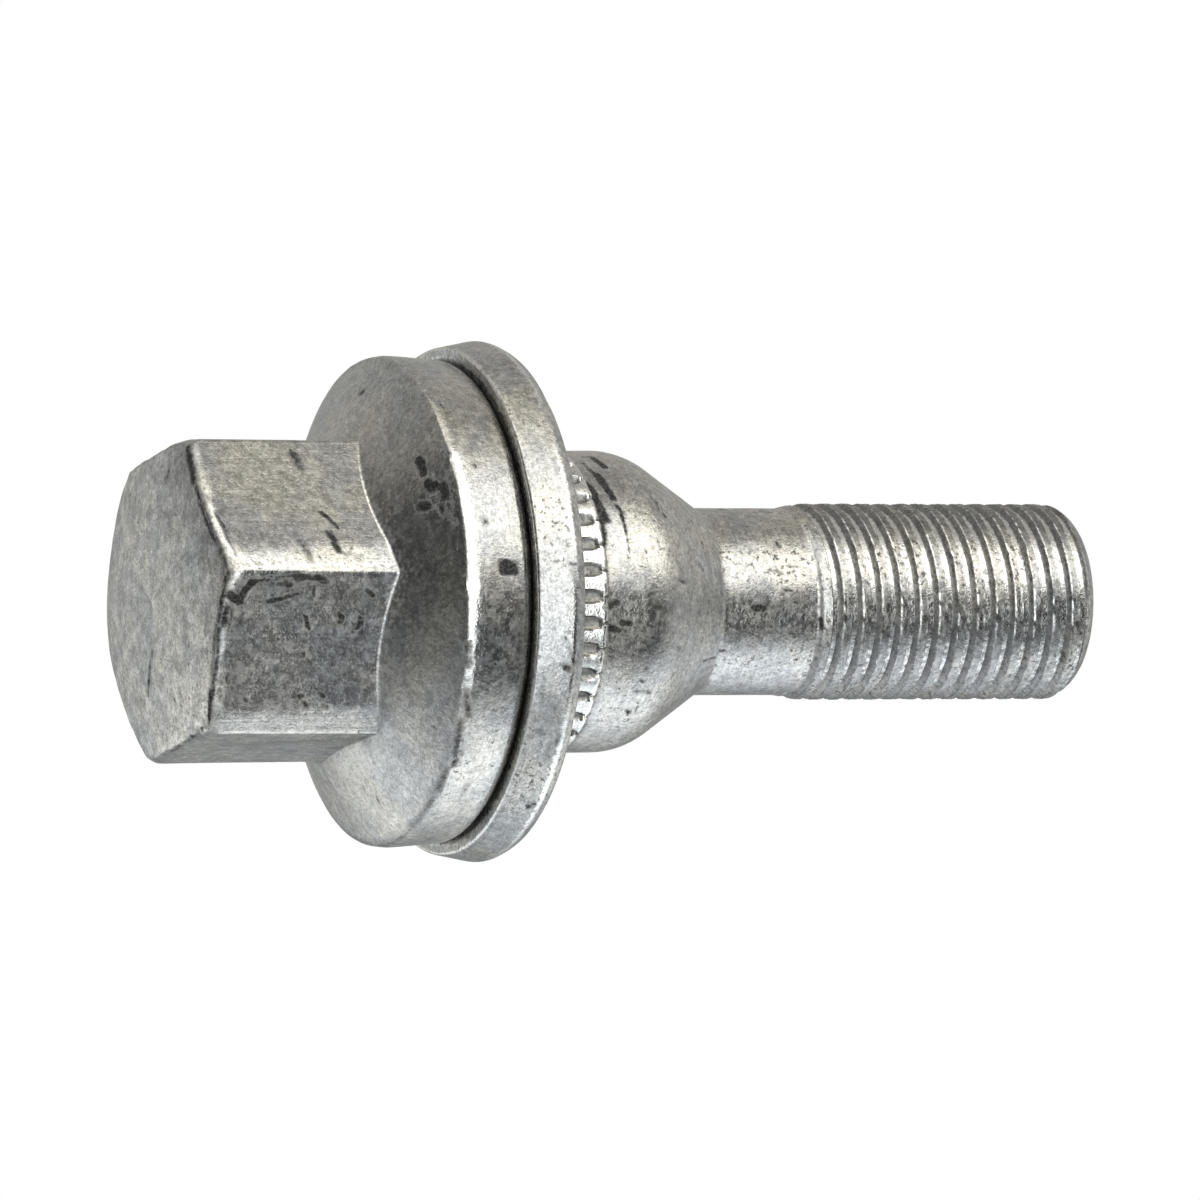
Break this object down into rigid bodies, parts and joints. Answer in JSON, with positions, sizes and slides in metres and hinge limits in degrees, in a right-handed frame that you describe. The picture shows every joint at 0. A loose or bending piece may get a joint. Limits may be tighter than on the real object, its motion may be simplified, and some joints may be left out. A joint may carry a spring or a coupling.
{
  "type": "wheel bolt",
  "caption": "Steel wheel bolt with a crowned hexagon head, a conical flange, a captive dished washer, a toothed pilot, a cone and a fine metric thread.",
  "frame": {"origin": "centre of the flat land on the crown of the head, on the bolt's axis, where the bolt stands", "axes": "+Z along the bolt's axis from the head to the thread's tip; two corners of the hexagon lie on the Y axis, so two flats face +X and -X"},
  "size_m": [0.0312, 0.0312, 0.0591],
  "materials": {
    "bolt_steel": "dull silver coating, scuffed and pitted",
    "washer_steel": "dull silver coating, scuffed and pitted"
  },
  "bodies": {
    "bolt": {"wheel_bolt": "bolt_steel"},
    "washer": {"captive_washer": "washer_steel"}
  },
  "joints": [
    {"name": "washer_spin", "type": "hinge", "parent": "bolt", "child": "washer", "pos_m": [0, 0, 0.02005], "axis": [0, 0, 1], "continuous": true}
  ]
}
